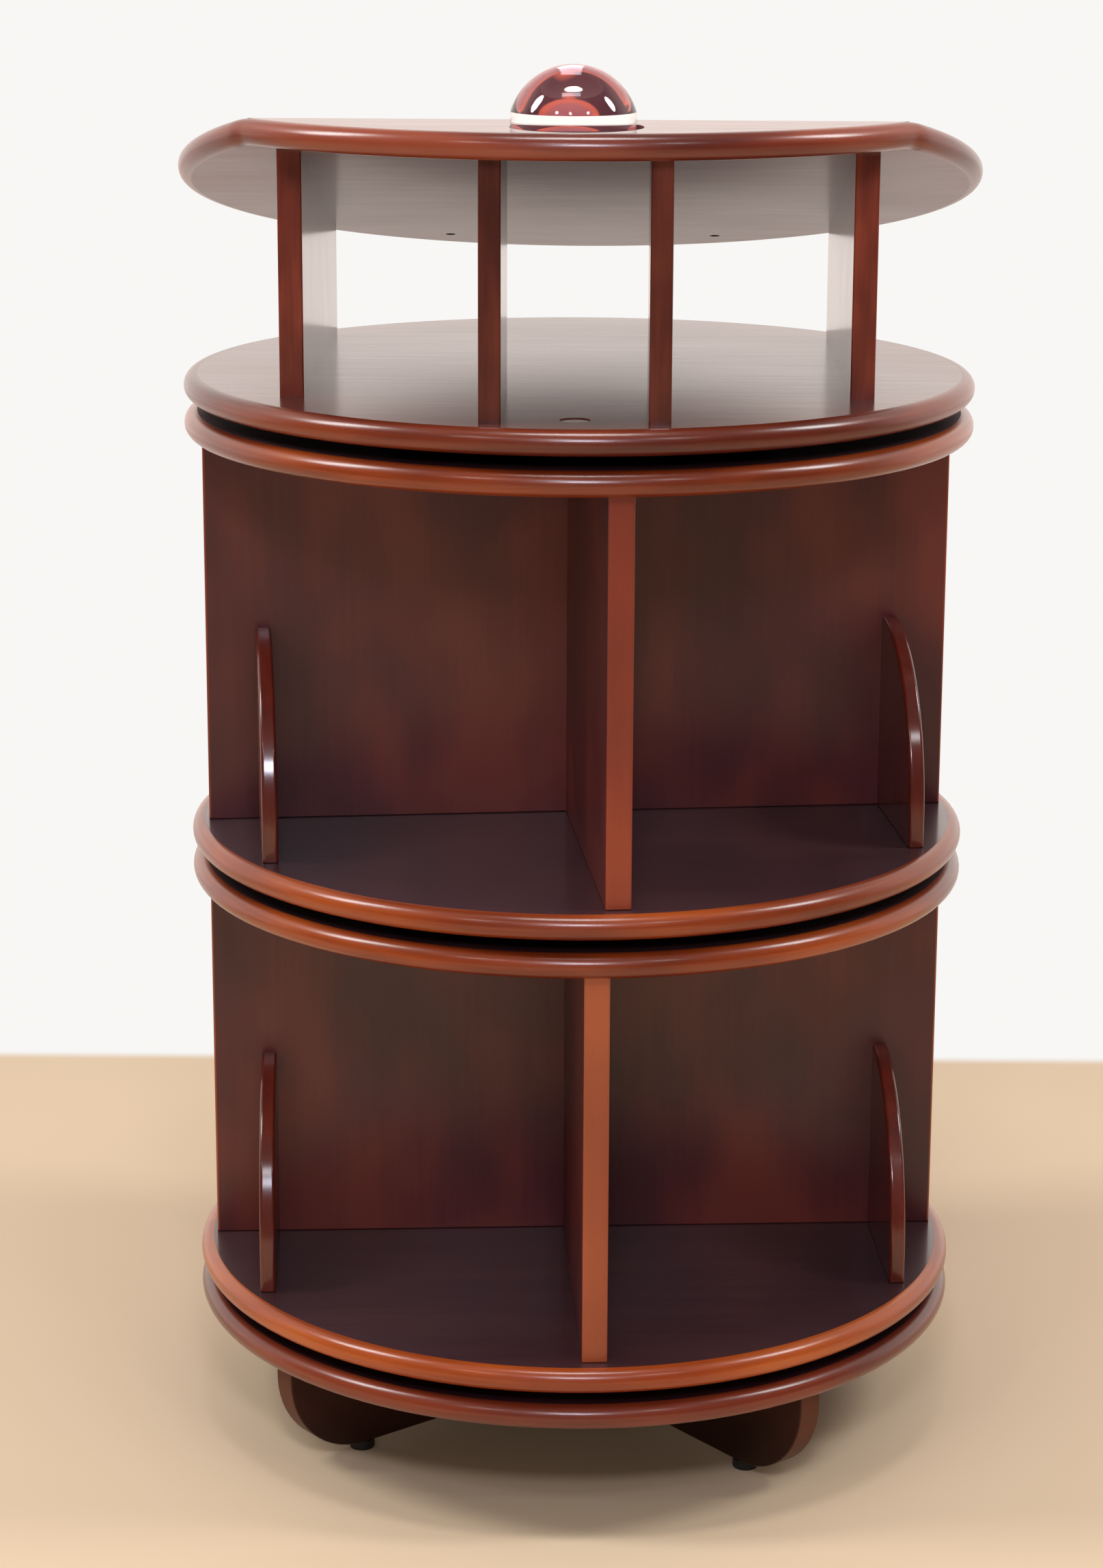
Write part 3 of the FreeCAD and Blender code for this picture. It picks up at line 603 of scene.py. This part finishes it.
# Floor of the studio. Past the wall line, and far away as the camera sees it, it is plain white.
stage = {"halfWidth": 5.0, "front": -6.0, "back": 5.0, "wallLine": 0.80, "wallSoft": 0.03,
         "fadeFrom": 1.8, "fadeTo": 2.8, "floor": "#d6bfa1", "roughness": 0.6, "gloss": 0.3,
         "seen": "#f8f7f5", "reflected": "#ffece2"}
startFresh()
bpy.ops.mesh.primitive_plane_add(size=1)
floor = bpy.context.object
floor.name = "studioFloor"
floor.data.transform(Matrix.Translation((0, (stage["front"] + stage["back"]) / 2, 0)) @ Matrix.Diagonal(
    (2 * stage["halfWidth"], stage["back"] - stage["front"], 1, 1)))
paleFloor, floorTree = newMaterial("paleFloor")
floorPlace = addNode(floorTree, "TexCoord").outputs["Object"]
floorParts = addNode(floorTree, "SeparateXYZ", {}, {"Vector": floorPlace}).outputs
pastWall = addNode(floorTree, "MapRange", {"interpolation_type": "SMOOTHSTEP"}, {
    "Value": floorParts["Y"], "From Min": stage["wallLine"],
    "From Max": stage["wallLine"] + stage["wallSoft"]})
fromObject = addNode(floorTree, "VectorMath", {"operation": "LENGTH"}, {0: floorPlace})
farAway = addNode(floorTree, "MapRange", {"interpolation_type": "SMOOTHSTEP"}, {
    "Value": fromObject.outputs["Value"], "From Min": stage["fadeFrom"], "From Max": stage["fadeTo"]})
path = addNode(floorTree, "LightPath").outputs
farSeen = addNode(floorTree, "Math", {"operation": "MULTIPLY"}, {0: farAway, 1: path["Is Camera Ray"]})
whiteShare = addNode(floorTree, "Math", {"operation": "MAXIMUM"}, {0: pastWall, 1: farSeen})
seen = path["Is Camera Ray"]
for ray in ("Is Glossy Ray", "Is Transmission Ray"):
    seen = addNode(floorTree, "Math", {"operation": "MAXIMUM"}, {0: seen, 1: path[ray]})
floorPaint = addNode(floorTree, "BsdfPrincipled", {}, {
    "Base Color": linearColour(stage["floor"]), "Roughness": stage["roughness"],
    "Specular IOR Level": stage["gloss"]})
wallTint = addNode(floorTree, "Mix", {"data_type": "RGBA"}, {
    0: path["Is Camera Ray"], 6: linearColour(stage["reflected"]), 7: linearColour(stage["seen"])})
floorWhite = addNode(floorTree, "Emission", {}, {"Color": wallTint.outputs[2], "Strength": 1.0})
whiteSeen = addNode(floorTree, "Math", {"operation": "MULTIPLY"}, {0: whiteShare, 1: seen})
floorMix = addNode(floorTree, "MixShader", {}, {"Fac": whiteSeen, 1: floorPaint, 2: floorWhite})
addNode(floorTree, "OutputMaterial", {}, {"Surface": floorMix})
floor.data.materials.append(paleFloor)
floor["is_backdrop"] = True

# Room light: a warm white wall behind the bookcase and a dimmer room in front of it. Fill lights
# the wood, glow is what gloss and glass reflect, and the spans are parts of the view's direction.
room = {"wallFill": 0.85, "roomFill": 0.25, "wallGlow": 1.25, "roomGlow": 0.05, "ceilingGlow": 0.15,
        "wallColour": "#fff2eb", "wallSpan": {"From Min": -0.15, "From Max": 0.35},
        "ceilingSpan": {"From Min": 0.45, "From Max": 0.9}}
world = bpy.data.worlds.new("whiteRoom")
bpy.context.scene.world = world
world.use_nodes = True
skyTree = world.node_tree
skyTree.nodes.clear()
skyPath = addNode(skyTree, "LightPath").outputs
skyPlace = addNode(skyTree, "TexCoord")
skyParts = addNode(skyTree, "SeparateXYZ", {}, {"Vector": skyPlace.outputs["Generated"]}).outputs
towardsWall, towardsCeiling = (
    addNode(skyTree, "MapRange", {"interpolation_type": "SMOOTHSTEP"}, {
        "Value": skyParts[axis], **room[span]})
    for axis, span in (("Y", "wallSpan"), ("Z", "ceilingSpan")))
fill, around = (
    addNode(skyTree, "Mix", {"data_type": "FLOAT"}, {
        0: towardsWall, 2: room["room" + kind], 3: room["wall" + kind]})
    for kind in ("Fill", "Glow"))
glow = addNode(skyTree, "Mix", {"data_type": "FLOAT"}, {
    0: towardsCeiling, 2: around, 3: room["ceilingGlow"]})
mirrorRay = addNode(skyTree, "Math", {"operation": "MAXIMUM"}, {
    0: skyPath["Is Glossy Ray"], 1: skyPath["Is Transmission Ray"]})
level = addNode(skyTree, "Mix", {"data_type": "FLOAT"}, {0: mirrorRay, 2: fill, 3: glow})
lit = addNode(skyTree, "Background", {}, {"Color": linearColour(room["wallColour"]), "Strength": level})
backdrop = addNode(skyTree, "Background", {}, {"Color": linearColour(stage["seen"]), "Strength": 1.0})
skyMix = addNode(skyTree, "MixShader", {}, {"Fac": skyPath["Is Camera Ray"], 1: lit, 2: backdrop})
addNode(skyTree, "OutputWorld", {}, {"Surface": skyMix})

# A row of lamps overhead, a cool window in front and three small lamps high in front of it all stand
# where the highlights place them. The low fill only lifts the shadows and doesn't show in the lacquer.
lamps = {
    "overheadLeft": {"place": (-2.1, -0.3, 2.6), "aim": (0, 0, 0.8), "size": (0.6, 1.2), "watts": 40},
    "overheadMiddle": {"place": (0.0, -0.5, 2.6), "aim": (0, 0, 0.8), "size": (0.7, 0.35), "watts": 14},
    "overheadRight": {"place": (2.1, -0.3, 2.6), "aim": (0, 0, 0.8), "size": (0.5, 1.0), "watts": 30},
    "coolWindow": {"place": (0.05, -2.4, 1.9), "aim": (0.05, 0, 1.9), "size": (0.42, 0.35), "watts": 24,
                   "colour": "#eceeff", "shape": "RECTANGLE"},
    "frontLeft": {"place": (-1.43, -2.39, 2.8), "aim": (0, 0, 0.6), "size": (0.3, 0.3), "watts": 5},
    "frontMiddle": {"place": (-0.28, -2.8, 2.8), "aim": (0, 0, 0.6), "size": (0.3, 0.3), "watts": 5},
    "frontRight": {"place": (1.28, -2.48, 2.8), "aim": (0, 0, 0.6), "size": (0.3, 0.3), "watts": 5},
    "lowFill": {"place": (-0.4, -2.8, 0.5), "aim": (0, 0, 0.7), "size": (2.0, 0.8), "watts": 20,
                "colour": "#fff0e0", "inGloss": False},
}
for lampName, plan in lamps.items():
    lamp = bpy.data.lights.new(lampName, "AREA")
    lamp.shape = plan.get("shape", "ELLIPSE")
    lamp.size, lamp.size_y = plan["size"]
    lamp.energy = plan["watts"]
    lamp.color = linearColour(plan.get("colour", "#ffffff"))[:3]
    holder = bpy.data.objects.new(lampName, lamp)
    bpy.context.scene.collection.objects.link(holder)
    holder.location = plan["place"]
    towards = Vector(plan["aim"]) - Vector(plan["place"])
    holder.rotation_euler = towards.to_track_quat("-Z", "Y").to_euler()
    holder.visible_camera = False
    holder.visible_glossy = plan.get("inGloss", True)
    holder.visible_transmission = plan.get("inGloss", True)

# Fitted to the photograph: focal length in pixels of the 2296 pixel high frame, degrees and metres
shot = {"focal": 5412, "height": 2296, "place": (0.0001, -2.8499, 1.2609),
        "yaw": 0.405, "pitch": 14.748, "roll": 0.233, "sensor": 36.0}
yaw, pitch, roll = (math.radians(shot[key]) for key in ("yaw", "pitch", "roll"))
forward = Vector((-math.sin(yaw) * math.cos(pitch), math.cos(yaw) * math.cos(pitch), -math.sin(pitch)))
levelRight = Vector((math.cos(yaw), math.sin(yaw), 0))
levelUp = levelRight.cross(forward)
right = levelRight * math.cos(roll) + levelUp * math.sin(roll)
upward = levelUp * math.cos(roll) - levelRight * math.sin(roll)
lens = bpy.data.cameras.new("photoCamera")
lens.sensor_width = shot["sensor"]
lens.lens = shot["focal"] / shot["height"] * shot["sensor"]
camera = bpy.data.objects.new("photoCamera", lens)
bpy.context.scene.collection.objects.link(camera)
facing = Matrix((right, upward, -forward)).transposed().to_4x4()
camera.matrix_world = Matrix.Translation(shot["place"]) @ facing
bpy.context.scene.camera = camera
bpy.context.scene.view_settings.view_transform = "Standard"
print("stage, light and camera set")

low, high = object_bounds()
